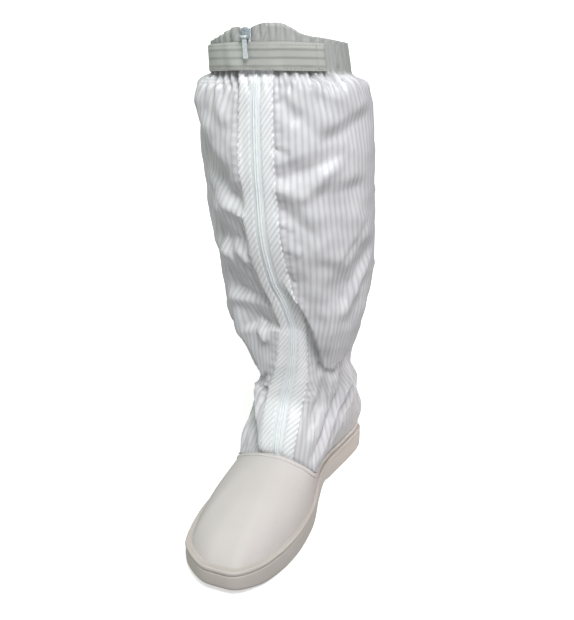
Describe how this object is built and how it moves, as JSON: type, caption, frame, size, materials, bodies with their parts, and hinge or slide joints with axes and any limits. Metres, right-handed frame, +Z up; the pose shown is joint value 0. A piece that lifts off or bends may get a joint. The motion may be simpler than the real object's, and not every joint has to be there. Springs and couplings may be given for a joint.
{
  "type": "cleanroom boot",
  "caption": "Knee-high cleanroom boot: white moulded slip-on shoe with a striped antistatic cloth shaft, front zip, gathered ankle and a strap round the collar.",
  "frame": {"origin": "on the floor under the middle of the boot's box", "axes": "+Z up, toe towards -Y, heel towards +Y, medial side towards +X"},
  "size_m": [0.156, 0.2904, 0.4522],
  "materials": {
    "sole_polyurethane": "satin moulded white",
    "upper_polyurethane": "smooth satin white",
    "insole_foam": "matt",
    "striped_cloth": "pin-striped woven cloth",
    "zip_tape_cloth": "matt",
    "zip_nylon": "matt",
    "grey_webbing": "striped woven",
    "enamelled_metal": "satin enamel"
  },
  "bodies": {
    "boot": {"outsole": "sole_polyurethane", "insole": "insole_foam", "upper": "upper_polyurethane", "topline_binding": "upper_polyurethane", "shaft": "striped_cloth", "zip_tape": "zip_tape_cloth", "zip_chain": "zip_nylon", "zip_facing_medial": "striped_cloth", "zip_facing_lateral": "striped_cloth", "top_strap": "grey_webbing", "zip_slider": "enamelled_metal"},
    "pull_tab": {"zip_pull_tab": "enamelled_metal"}
  },
  "joints": [
    {"name": "pull_tab_hinge", "type": "hinge", "parent": "boot", "child": "pull_tab", "pos_m": [-0.00828, -0.0341, 0.44377], "axis": [-0.9941, 0.0877, -0.0637], "range_deg": [0, 150]}
  ]
}
